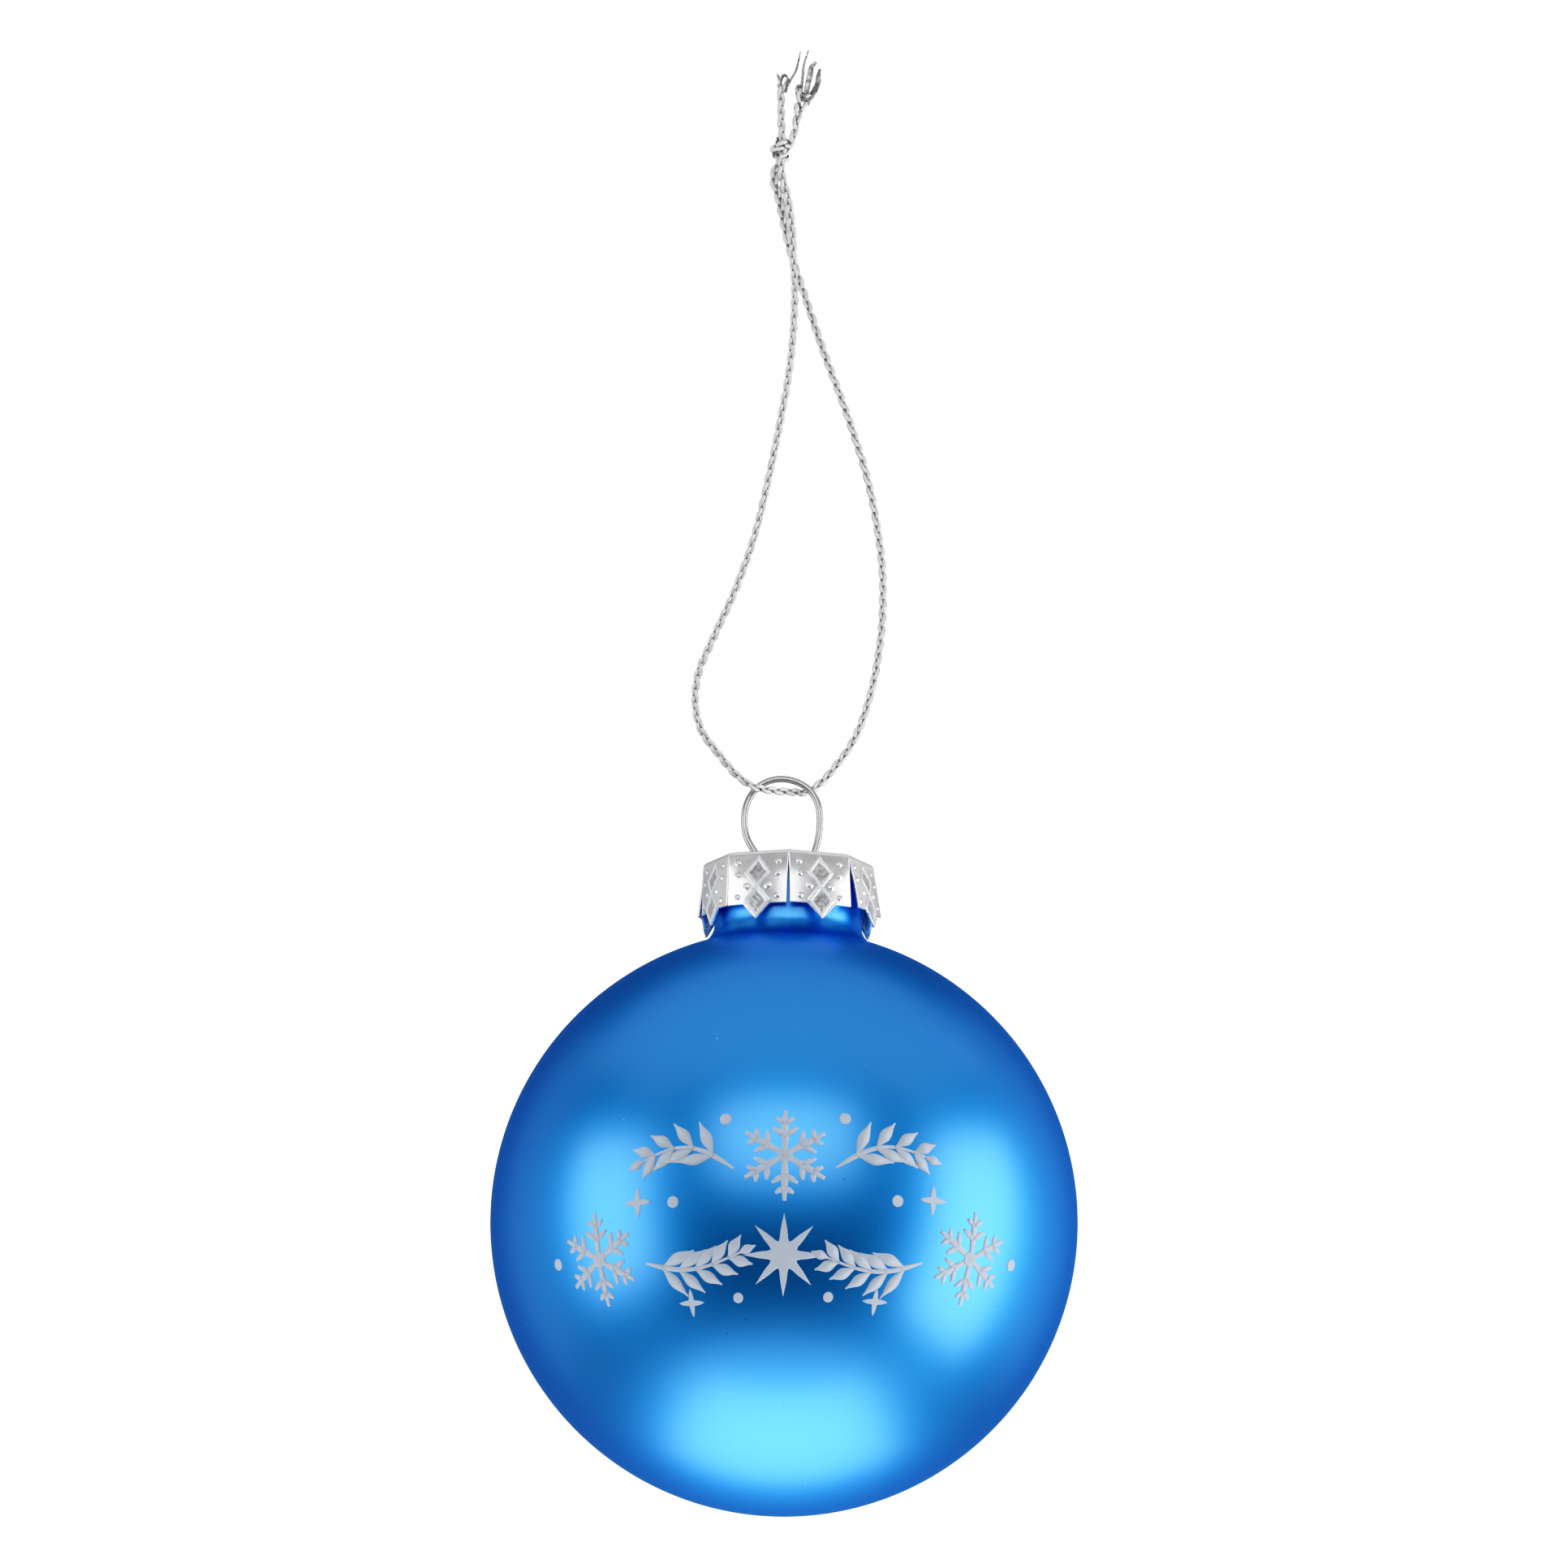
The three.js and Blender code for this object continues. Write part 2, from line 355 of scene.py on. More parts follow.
def cord_material():
    """Silver metallic threads, finely ribbed, painted nearly white where they lie uppermost: a painted
    highlight.
    """
    material, nodes, links, shader = new_material("painted_highlight_thread")
    threads = add_noise(nodes, links, 9000, 2.0)
    tone = add_range(nodes, links, threads, 0.35, 0.65, 0.0, 1.0)
    colour = mix_colours(nodes, links, tone, (0.9, 0.9, 0.91), (1.0, 1.0, 1.0))
    links.new(colour, shader.inputs["Base Color"])
    shader.inputs["Metallic"].default_value = 0.1
    shader.inputs["Roughness"].default_value = 0.3
    shader.inputs["IOR"].default_value = 1.9
    add_bump(nodes, links, shader, threads, 0.00005, 0.5)
    return material


def painted_shade_thread_material(name, darkest, lightest):
    """The same threads painted grey where they dip between each other and at the plait's edges: painted shade.
    """
    material, nodes, links, shader = new_material(name)
    tone = add_range(nodes, links, add_noise(nodes, links, 4000), 0.35, 0.65, 0.0, 1.0)
    colour = mix_colours(nodes, links, tone, (darkest,) * 3, (lightest,) * 3)
    links.new(colour, shader.inputs["Base Color"])
    shader.inputs["Metallic"].default_value = 0.6
    shader.inputs["Roughness"].default_value = 0.42
    return material


def cut_thread_material():
    """The loose threads at the cord's cut ends."""
    material, nodes, links, shader = new_material("cut_threads")
    tone = add_range(nodes, links, add_noise(nodes, links, 2500), 0.35, 0.65, 0.0, 1.0)
    colour = mix_colours(nodes, links, tone, (0.15, 0.15, 0.155), (0.58, 0.58, 0.59))
    links.new(colour, shader.inputs["Base Color"])
    shader.inputs["Metallic"].default_value = 0.7
    shader.inputs["Roughness"].default_value = 0.35
    return material


# ---------------------------------------------------------------- ball and print

BALL_AROUND = 192


def arc(centre, radius, start, end, parts):
    """[radius, height] points on an arc, angles in degrees."""
    made = []
    for i in range(parts + 1):
        angle = math.radians(between(start, end, i / parts))
        made.append((centre[0] + radius * math.cos(angle), centre[1] + radius * math.sin(angle)))
    return made


def ball_profile():
    """[radius, height] points of the outer wall, bottom to top, and of the lip and inner wall, top to bottom."""
    fillet_r = NECK_RADIUS + NECK_FILLET
    fillet = (fillet_r, math.sqrt((BALL_RADIUS + NECK_FILLET) ** 2 - fillet_r**2))
    meets = math.degrees(math.atan2(fillet[1], fillet[0]))
    lip = GLASS_WALL / 2
    outer = arc((0, 0), BALL_RADIUS, -90, meets, 110)[1:]
    outer += arc(fillet, NECK_FILLET, 180 + meets, 180, 12)[1:]
    outer += [(NECK_RADIUS, between(fillet[1], NECK_TOP - lip, i / 6)) for i in range(1, 7)]
    inner = arc((NECK_RADIUS - lip, NECK_TOP - lip), lip, 0, 180, 8)[1:]
    inner += [(NECK_RADIUS - GLASS_WALL, between(NECK_TOP - lip, fillet[1], i / 4)) for i in range(1, 4)]
    inner += arc(fillet, NECK_FILLET + GLASS_WALL, 180, 180 + meets, 10)
    inner += arc((0, 0), BALL_RADIUS - GLASS_WALL, meets, -90, 80)[1:-1]
    return outer, inner


def make_ball():
    outer, inner = ball_profile()
    profile = outer + inner
    around = BALL_AROUND
    points, faces, picks = [], [], []
    for radius, height in profile:
        for i in range(around):
            angle = 2 * math.pi * i / around
            points.append((radius * math.cos(angle), radius * math.sin(angle), height))
    points += [(0, 0, -BALL_RADIUS), (0, 0, GLASS_WALL - BALL_RADIUS)]
    outer_pole, inner_pole = len(points) - 2, len(points) - 1
    last = (len(profile) - 1) * around
    for i in range(around):
        after = (i + 1) % around
        faces += [(outer_pole, after, i), (inner_pole, last + i, last + after)]
        picks += [0, 1]
    for j in range(len(profile) - 1):
        for i in range(around):
            a, b = j * around + i, j * around + (i + 1) % around
            faces.append((a, b, b + around, a + around))
            picks.append(0 if j < len(outer) - 1 else 1)
    materials = [lacquer_material(), silvering_material()]
    return add_piece("ball", points, faces, materials, "ball", ["glass_ball"], picks)


INK_RAISE = 0.03
PRINT_HEIGHT = -3.0  # of the middle of the print on the ball's front
ARM_OVERLAP = 0.15  # of a snowflake's arms past its middle


def on_ball(u, v, raised):
    """A point of the print, u mm to the right and v mm up along the glass, raised above it."""
    lift = (PRINT_HEIGHT + v) / BALL_RADIUS
    turn = u / BALL_RADIUS
    out = Vector((math.sin(turn) * math.cos(lift), -math.cos(turn) * math.cos(lift), math.sin(lift)))
    return out * (BALL_RADIUS + raised)


def ink_stroke(line, half_width, points, faces):
    """A thin slab along [u, v] points; half_width(share) is its half width along its length."""
    line = smooth_route([(u, v, 0) for u, v in line], 0.3)
    rings = []
    for i, middle in enumerate(line):
        along = (line[min(i + 1, len(line) - 1)] - line[max(i - 1, 0)]).normalized()
        across = Vector((-along.y, along.x, 0)) * half_width(i / (len(line) - 1))
        left, right = middle + across, middle - across
        rings.append([
            on_ball(left.x, left.y, -INK_RAISE), on_ball(left.x, left.y, INK_RAISE),
            on_ball(right.x, right.y, INK_RAISE), on_ball(right.x, right.y, -INK_RAISE),
        ])
    sweep(rings, points, faces)


def ink_patch(centre, outline, points, faces):
    """A thin slab inside outline(angle), a radius about a centre, in rings so that it follows the glass."""
    around, steps = 48, 4
    base = len(points)
    for raised in (-INK_RAISE, INK_RAISE):
        points.append(on_ball(*centre, raised))
        for j in range(1, steps + 1):
            for i in range(around):
                angle = 2 * math.pi * i / around
                reach = outline(angle) * j / steps
                u = centre[0] + reach * math.cos(angle)
                v = centre[1] + reach * math.sin(angle)
                points.append(on_ball(u, v, raised))
    layer = 1 + steps * around
    for i in range(around):
        after = (i + 1) % around
        for j in range(steps):
            for low, flip in ((base, False), (base + layer, True)):
                outer_pair = (low + 1 + j * around + i, low + 1 + j * around + after)
                if j == 0:
                    face = (low, *outer_pair)
                else:
                    face = (outer_pair[0] - around, *outer_pair, outer_pair[1] - around)
                faces.append(face if flip else face[::-1])
        edge = base + 1 + (steps - 1) * around
        faces.append((edge + i, edge + after, edge + after + layer, edge + i + layer))


def taper(widest, thin=0.1, peak=0.4):
    """A half width that swells to its widest at a share of the stroke's length."""
    def half_width(share):
        part = share / peak if share < peak else (1 - share) / (1 - peak)
        return between(thin, widest, eased(part))
    return half_width


def dot(centre, radius, points, faces):
    ink_patch(centre, lambda angle: radius, points, faces)


def star(centre, radius, rays, points, faces, waist=0.3, turn=90):
    """A star with hollow sides between its points."""
    def outline(angle):
        share = abs(((angle - math.radians(turn)) * rays / math.pi) % 2 - 1)
        return radius * between(waist, 1, share**2.2)
    ink_patch(centre, outline, points, faces)


def snowflake(centre, radius, points, faces):
    """Six tapering arms with two pairs of barbs each, and a small hexagon at the middle."""
    for k in range(6):
        angle = math.radians(30 + 60 * k)
        arm = Vector((math.cos(angle), math.sin(angle)))
        start, tip = Vector(centre) - arm * ARM_OVERLAP, Vector(centre) + arm * radius
        ink_stroke([start, (start + tip) / 2, tip], taper(0.38, 0.2, 0.5), points, faces)
        for share, reach in ((0.42, 0.34), (0.7, 0.24)):
            root = Vector(centre) + arm * radius * share
            for sign in (-1, 1):
                leaning = angle + sign * math.radians(55)
                barb = Vector((math.cos(leaning), math.sin(leaning)))
                end = root + barb * radius * reach
                ink_stroke([root, (root + end) / 2, end], taper(0.3, 0.14, 0.5), points, faces)
    star(centre, radius * 0.2, 6, points, faces, waist=0.8, turn=30)


def sprig(root, reach, rise, bend, leaves, points, faces):
    """A curved twig with slim leaves in pairs, that get shorter towards its tip."""
    def at(share):
        return Vector((root[0] + reach * share, root[1] + rise * share + bend * math.sin(math.pi * share)))
    ink_stroke([at(i / 6) for i in range(7)], taper(0.26, 0.12, 0.2), points, faces)
    for k in range(leaves):
        share = (k + 1) / (leaves + 0.6)
        along = (at(share + 0.02) - at(share - 0.02)).normalized()
        for sign in (-1, 1):
            turn = Matrix.Rotation(sign * math.radians(42), 2)
            length = between(3.9, 2.2, share)
            leaf = turn @ along * length
            droop = Vector((along.x, along.y)) * length * 0.18
            start = at(share)
            leaf_line = [start, start + leaf * 0.5 + droop * 0.4, start + leaf + droop]
            ink_stroke(leaf_line, taper(0.6, 0.08, 0.5), points, faces)
    ink_stroke([at(1), at(1) + (at(1) - at(0.9)).normalized() * 2.0], taper(0.5, 0.08, 0.5), points, faces)


def make_print():
    """A winter motif in silver ink: snowflakes, stars and sprigs in two rows."""
    points, faces = [], []
    snowflake((0, 4.8), 4.7, points, faces)
    sprig((-5.2, 3.4), -9.6, 1.2, 1.7, 4, points, faces)
    sprig((5.2, 3.6), 9.6, 1.8, 1.5, 4, points, faces)
    snowflake((-21.0, -5.0), 4.8, points, faces)
    sprig((-15.2, -5.8), 10.4, 0.6, -1.2, 5, points, faces)
    star((0, -5.4), 4.3, 8, points, faces, waist=0.34)
    sprig((15.2, -5.4), -10.4, -0.2, -1.2, 5, points, faces)
    snowflake((21.2, -4.4), 4.8, points, faces)
    for centre, radius in (
        ((-6.2, 8.6), 0.6), ((6.2, 8.8), 0.6), ((-11.6, 0.2), 0.6), ((11.8, 0.6), 0.6),
        ((-5.0, -9.8), 0.55), ((5.0, -9.6), 0.55), ((-27.2, -4.8), 0.6), ((27.4, -4.2), 0.6),
    ):
        dot(centre, radius, points, faces)
    for centre, radius in (
        ((-10.4, -10.2), 1.5), ((10.4, -9.8), 1.5), ((-15.6, 0.4), 1.6), ((15.8, 1.0), 1.6),
    ):
        star(centre, radius, 4, points, faces, waist=0.3)
    return add_piece("print_motif", points, faces, [ink_material()], "ball")


# ---------------------------------------------------------------- cap

SECTOR = 2 * math.pi / PETALS
HALF_SECTOR = SECTOR / 2
CAP_APOTHEM = CAP_CORNER_RADIUS * math.cos(HALF_SECTOR)
RIM_BEND = 0.5
BASE_FLARE = math.radians(3)
SLOT_TOP = 0.6
PETAL_BOW = 0.38
BOW_ONSET = 2.8  # the way down a petal in which its bow comes on
PETAL_HALF_WIDTH = 3.3  # about, at the rim
COLUMNS = 72
ROWS = 72
WELD_WITHIN = 0.01
WIRE_SLOTS = [(-3.3, 2.2, 1.1), (2.75, 2.2, 1.1)]  # middle, length and width
SLIVER = 0.00001  # twice the area, in square mm, below which a triangle is left out

# by petal, from the one right of the front corner round to the right:
# how far it stands out, in degrees, and how far its left and right edges stay off the corners at its foot
PETAL_SHAPES = [
    (4.0, 0.2, 0.0), (9.0, 0.95, 0.25), (5.0, 0.3, 0.2), (3.5, 0.2, 0.3),
    (5.0, 0.3, 0.2), (6.5, 0.2, 0.3), (1.5, 0.3, 0.05), (0.8, 0.06, 0.18),
]

DIAMOND_MIDDLES = (2.3, 5.3)
DIAMOND_OUTER = (1.45, 1.85)
DIAMOND_INNER = (1.0, 1.28)
SMALL_DOTS = [(2.2, 1.25), (2.2, 2.55), (2.2, 4.87)]
LARGE_DOT = (1.2, 3.8)

# the stamping, in mm: how far each mark stands out or in, and how wide it is
GROUND_DEPTH = 0.03
GROUND_SLOPE = 0.15
BORDER_RISE = 0.08
BORDER_RIDGE = 0.16  # of its top in from the diamond's edge
BORDER_HALF_WIDTH = 0.17
SMALL_DOT_RISE = 0.17
SMALL_DOT_RADIUS = 0.33
LARGE_DOT_RISE = 0.18
LARGE_DOT_RADIUS = 0.38

# where the sheet's materials change, in mm
GROUND_INSET = 0.04
BORDER_INSET = 0.03
DOT_EDGE = 0.27
PAINTED_SHADE_LINE = 0.09  # width of the painted shade line round the feet of the borders and dots


def inside_diamond(u, v, size):
    """How far inside a diamond's edge a point is, in mm; negative outside."""
    return (1 - abs(u) / size[0] - abs(v) / size[1]) * size[0] * size[1] / math.hypot(*size)


def hump(distance, half_width):
    return math.cos(math.pi / 2 * min(abs(distance) / half_width, 1)) ** 2


def emboss(u, v):
    """How far the stamping stands out at u across and v down a petal."""
    out = 0.0
    for middle in DIAMOND_MIDDLES:
        border = inside_diamond(u, v - middle, DIAMOND_OUTER)
        field = inside_diamond(u, v - middle, DIAMOND_INNER)
        if field > 0:
            return -GROUND_DEPTH * eased(field / GROUND_SLOPE)
        out = max(out, BORDER_RISE * hump(border - BORDER_RIDGE, BORDER_HALF_WIDTH))
    for du, dv in SMALL_DOTS:
        out = max(out, SMALL_DOT_RISE * hump(math.hypot(abs(u) - du, v - dv), SMALL_DOT_RADIUS))
    away = math.hypot(abs(u) - LARGE_DOT[0], v - LARGE_DOT[1])
    return max(out, LARGE_DOT_RISE * hump(away, LARGE_DOT_RADIUS))


def sheet_pick(u, v):
    """The material at a point of a petal: 0 plain sheet, 1 a hammered ground or a painted shade line, 2 a border
    with a painted highlight.
    """
    borders = [inside_diamond(u, v - middle, DIAMOND_OUTER) for middle in DIAMOND_MIDDLES]
    grounds = [inside_diamond(u, v - middle, DIAMOND_INNER) for middle in DIAMOND_MIDDLES]
    if max(grounds) > GROUND_INSET:
        return 1
    if max(borders) > BORDER_INSET:
        return 2
    dots = [math.hypot(abs(u) - du, v - dv) for du, dv in SMALL_DOTS]
    # a dark line at the feet of the borders and dots is painted shade
    by_border = max(borders) > BORDER_INSET - PAINTED_SHADE_LINE
    by_dot = any(DOT_EDGE < away < DOT_EDGE + PAINTED_SHADE_LINE for away in dots)
    return 1 if by_border or by_dot else 0


def sector_frame(k):
    angle = -math.pi / 2 + HALF_SECTOR + SECTOR * k
    outward = Vector((math.cos(angle), math.sin(angle), 0))
    return outward, Vector((-outward.y, outward.x, 0))


def rim_rows():
    """[distance out, height, distance down] from the flat top round the rim's bend, alike for each petal."""
    turn = math.pi / 2 - BASE_FLARE
    tangent = RIM_BEND * math.tan(turn / 2)
    rows = []
    for i in range(7):
        angle = turn * i / 6
        out = CAP_APOTHEM - tangent + RIM_BEND * math.sin(angle)
        rows.append((out, CAP_TOP - RIM_BEND + RIM_BEND * math.cos(angle), tangent * i / 6))
    return rows


def petal_bottom(u):
    return PETAL_HEIGHT + PETAL_POINT * max(0.0, 1 - abs(u) / PETAL_POINT_HALF_WIDTH)


def open_share(down):
    """How far open the cuts between the petals are at a distance down: 0 at their tops, 1 at the feet."""
    return max(0.0, (down - SLOT_TOP) / (PETAL_HEIGHT - SLOT_TOP)) ** 0.5


def petal_grid(k):
    """The points of one petal in rows from the flat top's edge down, left to right as seen from outside.

    With them, in the same order, the material at each.
    """
    outward, across = sector_frame(k)
    flare, left_inset, right_inset = PETAL_SHAPES[k]
    flare = math.radians(flare)
    rim = rim_rows()
    start = rim[-1][2]
    grid, stamped = [], [0] * (len(rim) * (COLUMNS + 1))
    for out, height, down in rim:
        half = out * math.tan(HALF_SECTOR)
        grid.append([
            outward * out + across * between(-half, half, i / COLUMNS) + UP * height
            for i in range(COLUMNS + 1)
        ])
    for j in range(1, ROWS + 1):
        row = []
        for i in range(COLUMNS + 1):
            wide = between(-1, 1, i / COLUMNS)
            down = between(start, petal_bottom(wide * PETAL_HALF_WIDTH), j / ROWS)
            out = CAP_APOTHEM + down * math.sin(BASE_FLARE)
            out += max(0.0, down - SLOT_TOP) * (math.sin(flare) - math.sin(BASE_FLARE))
            full = out * math.tan(HALF_SECTOR)
            opened = min(1.0, open_share(down))
            u = between(-full + left_inset * opened, full - right_inset * opened, i / COLUMNS)
            stamped.append(sheet_pick(u, down))
            bow = PETAL_BOW * (1 - (u / full) ** 2) * eased((down - start) / BOW_ONSET)
            height = CAP_TOP - down * math.cos(flare)
            row.append(outward * (out + emboss(u, down) + bow) + across * u + UP * height)
        grid.append(row)
    return grid, stamped


def stadium(middle, long, wide, parts=10):
    """The outline of a slot with round ends, counter-clockwise."""
    reach = (long - wide) / 2
    made = []
    for end, start in ((reach, -90), (-reach, 90)):
        for i in range(parts + 1):
            angle = math.radians(start + 180 * i / parts)
            made.append(Vector((middle + end + wide / 2 * math.cos(angle), wide / 2 * math.sin(angle))))
    return made


def in_slot(point, middle, long, wide):
    reach = (long - wide) / 2
    off = max(0.0, abs(point.x - middle) - reach)
    return math.hypot(off, point.y) < wide / 2


def plate_faces(edge):
    """The flat top inside an outline, without its slots and without slivers along its straight sides."""
    loops = [edge] + [stadium(*slot) for slot in WIRE_SLOTS]
    places, edges = [], []
    for loop in loops:
        first = len(places)
        places += loop
        edges += [(first + i, first + (i + 1) % len(loop)) for i in range(len(loop))]
    spots, _, triangles, *_ = delaunay_2d_cdt(places, edges, [], 0, 1e-6)
    kept = []
    for triangle in triangles:
        a, b, c = (spots[i] for i in triangle)
        flat = abs((b - a).cross(c - a)) < SLIVER
        if not flat and not any(in_slot((a + b + c) / 3, *slot) for slot in WIRE_SLOTS):
            kept.append(triangle)
    return spots, kept


def make_cap():
    points, faces, picks, edge = [], [], [], []
    for k in range(PETALS):
        grid, stamped = petal_grid(k)
        edge += [p.xy for p in grid[0][:-1]]
        base, wide = len(points), COLUMNS + 1
        for row in grid:
            points += row
        for j in range(len(grid) - 1):
            for i in range(COLUMNS):
                a = base + j * wide + i
                faces.append((a, a + wide, a + wide + 1, a + 1))
                picks.append(stamped[a - base])
    spots, triangles = plate_faces(edge)
    base = len(points)
    points += [Vector((p.x, p.y, CAP_TOP)) for p in spots]
    faces += [tuple(base + i for i in t) for t in triangles]
    picks += [0] * len(triangles)
    # the plain sheet, its darker copy for painted shade in the grounds and lines, and its lit copy for a painted
    # highlight on the borders
    sheets = [sheet_material(), field_material(), border_material()]
    cap = add_piece("stamped_cap", points, faces, sheets, "cap", ["cap"], picks)
    weld(cap, WELD_WITHIN)
    for face in cap.data.polygons:
        if face.normal.z > 0.999:
            face.use_smooth = False
    sheet = cap.modifiers.new("sheet", "SOLIDIFY")
    sheet.thickness = CAP_SHEET * MM
    sheet.offset = -1
    return cap


def weld(piece, distance):
    """Joins points of a piece nearer to each other than a distance."""
    shape = bmesh.new()
    shape.from_mesh(piece.data)
    bmesh.ops.remove_doubles(shape, verts=shape.verts, dist=distance * MM)
    shape.to_mesh(piece.data)
    shape.free()


# ---------------------------------------------------------------- wire hanger

WIRE_STEP = 0.25
WIRE_SIDES = 20


def make_wire():
    """The bent wire, with its two cut ends rounded."""
    line = smooth_route([(x, 0, z) for x, z in WIRE_ROUTE], WIRE_STEP)
    radius = WIRE_DIAMETER / 2
    frames = sides_and_fronts(line, lambda i: Vector((0, -1, 0)))
    rings = []
    for i, (side, front) in enumerate(frames):
        short = max(0.0, radius - min(i, len(line) - 1 - i) * WIRE_STEP)
        rounded = math.sqrt(max(radius**2 - short**2, 0.01))
        rings.append(oval_ring(line[i], side, front, rounded, rounded, WIRE_SIDES))
    points, faces = [], []
    sweep(rings, points, faces)
    return add_piece("wire_ring", points, faces, [wire_material()], "hanger", ["wire_hanger"])


# ---------------------------------------------------------------- cord

PLAIT_PERIOD = 4.2
PLAIT_REACH = 0.205
PLAIT_DEPTH = 0.12
STRAND_EDGE = 0.215
STRAND_CROSSING = 0.16
STRAND_SIDES = 12
BULGE_FROM = 0.4  # of the swing to an edge
BULGE_OVER = 0.5  # of the swing, in which a strand grows to its full radius
PAINTED_HIGHLIGHT_FROM = 0.5  # of the swing to an edge, past which a strand gets the painted highlight
PAINTED_HIGHLIGHT_SIDES = (1, 2, 3, 4)  # of each half of a strand's sides, those that don't look along the plait's width, which get the painted highlight
CORD_STEP = 0.14

ROLL = 0.35  # radians the flat side turns away from the viewer, to each side in turn
ROLL_TURNS = 4.2
ROLL_START = 0.6
LEFT_END_STEPS = 10  # in which the plait widens towards a cut end
RIGHT_END_STEPS = 26
PAIRED_FROM = 99  # heights between which the loop's strands lie side by side, and the plait is wider
PAIRED_TO = 111


def plait(line, facing, size=None):
    """Three strands plaited flat along a line; facing(i) is where the flat side looks, size(i) scales it.

    Gives the points, the faces and their material: 0, a painted highlight, where a strand lies uppermost at an
    edge, or 1, painted shade, elsewhere.
    """
    points, faces, picks = [], [], []
    step = line_length(line) / (len(line) - 1)
    frames = sides_and_fronts(line, facing)
    for k in range(3):
        rings = []
        for i, (side, front) in enumerate(frames):
            phase = 2 * math.pi * (i * step / PLAIT_PERIOD + k / 3)
            scale = size(i) if size else (1.0, 1.0)
            swing = math.sin(phase)
            centre = line[i] + side * (PLAIT_REACH * swing * scale[0])
            centre += front * (PLAIT_DEPTH * math.sin(2 * phase) * scale[1])
            bulge = eased((abs(swing) - BULGE_FROM) / BULGE_OVER)
            radius = between(STRAND_CROSSING, STRAND_EDGE, bulge) * scale[1]
            rings.append(oval_ring(centre, side, front, radius, radius, STRAND_SIDES))
            if i:
                # a strand's front and back sides near an edge get the painted highlight, the rest painted shade
                bright = abs(swing) > PAINTED_HIGHLIGHT_FROM
                for n in range(STRAND_SIDES):
                    picks.append(0 if bright and n % (STRAND_SIDES // 2) in PAINTED_HIGHLIGHT_SIDES else 1)
        sweep(rings, points, faces)
        picks += [1] * (2 * STRAND_SIDES)
    return points, faces, picks


def cord_line():
    return smooth_route(LEFT_TAIL_ROUTE + LOOP_ROUTE + RIGHT_TAIL_ROUTE, CORD_STEP)


def make_cord(threads):
    """The whole cord, from the end of its left tail round the loop to the end of its right tail."""
    line = cord_line()
    last = len(line) - 1

    def facing(i):
        roll = ROLL * math.sin(2 * math.pi * ROLL_TURNS * i / last + ROLL_START)
        return Vector((math.sin(roll), -math.cos(roll), 0))

    def size(i):
        left = eased((LEFT_END_STEPS - i) / LEFT_END_STEPS)
        right = eased((i - last + RIGHT_END_STEPS) / RIGHT_END_STEPS)
        paired = eased((line[i].z - PAIRED_FROM) / 4) * eased((PAIRED_TO - line[i].z) / 2)
        across = 1 + 0.25 * left + 1.9 * right + 0.25 * paired
        deep = 1 + 0.12 * left + 0.15 * right + 0.12 * paired
        return across, deep

    points, faces, picks = plait(line, facing, size)
    piece = add_piece(
        "cord_braid", points, faces, threads, "cord",
        ["cord_loop", "cord_tail_left", "cord_tail_right"], picks,
    )
    return piece, line


KNOT_TURNS = 1.55
KNOT_ACROSS = 0.74
KNOT_DEEP = 0.66
KNOT_RISE = 2.2
KNOT_LIFT = 0.55  # of the middle of its turns above the knot's own centre
KNOT_START = math.radians(-60)
KNOT_TUCK = 0.3  # of the turns' reach, left at their two ends
KNOT_TUCK_SHARE = 0.14  # of the turns' length, in which they draw in
KNOT_SIZE = (1.25, 1.1)


def make_knot(threads):
    """The turns of the cord round itself that make the knot."""
    steps = round(KNOT_TURNS * 2 * math.pi * KNOT_ACROSS / CORD_STEP)
    line, outs = [], []
    for i in range(steps + 1):
        share = i / steps
        angle = KNOT_START + 2 * math.pi * KNOT_TURNS * share
        tuck = between(KNOT_TUCK, 1.0, eased(min(share, 1 - share) / KNOT_TUCK_SHARE))
        out = Vector((math.cos(angle), math.sin(angle), 0))
        outs.append(out)
        offset = Vector((KNOT_ACROSS * out.x, KNOT_DEEP * out.y, 0)) * tuck
        line.append(KNOT_CENTRE + offset + UP * (KNOT_LIFT + KNOT_RISE * (share - 0.5)))
    points, faces, picks = plait(line, lambda i: outs[i], lambda i: KNOT_SIZE)
    return add_piece(
        "cord_knot_turns", points, faces, threads, "cord", ["cord_knot"], picks,
    )


# the loose threads at the two cut ends: route of [x, y, height], width
LEFT_FRAYS = [
    ([[-1.75, -0.15, 117.9], [-1.95, -0.25, 119.0], [-2.22, -0.2, 119.85]], 0.4),
    ([[-1.95, -0.1, 118.2], [-1.8, -0.2, 119.4], [-1.45, -0.25, 119.75], [-1.1, -0.1, 119.4]], 0.36),
    ([[-1.35, 0, 118.0], [-0.95, 0.05, 119.1], [-0.35, 0.1, 120.2], [-0.1, 0, 121.1], [0.12, 0, 122.3]], 0.3),
    ([[-1.5, 0.15, 118.0], [-1.35, 0.2, 118.9], [-1.05, 0.1, 119.5]], 0.4),
]
RIGHT_FRAYS = [
    ([[0.2, 0, 117.4], [0.3, 0.05, 118.9], [0.52, 0, 120.9], [0.95, -0.1, 122.4]], 0.3),
    ([[0.7, -0.1, 117.0], [0.85, -0.15, 118.4], [1.15, -0.1, 119.9],
      [1.3, 0, 120.7], [1.76, 0.1, 121.2]], 0.6),
    ([[0.75, 0.1, 116.8], [1.2, 0.1, 117.5], [1.62, 0.05, 118.2],
      [1.95, 0, 119.0], [2.0, 0, 119.8], [2.15, 0.1, 120.5]], 0.7),
    ([[0.05, -0.1, 117.2], [-0.15, -0.15, 118.0], [-0.05, -0.1, 118.6], [0.35, -0.05, 118.7]], 0.46),
    ([[0.45, 0.1, 117.3], [0.75, 0.2, 118.2], [1.0, 0.2, 119.0], [1.2, 0.1, 120.1]], 0.4),
]
FRAY_THICKNESS = 0.07
FRAY_STEP = 0.12
FRAY_SIDES = 8


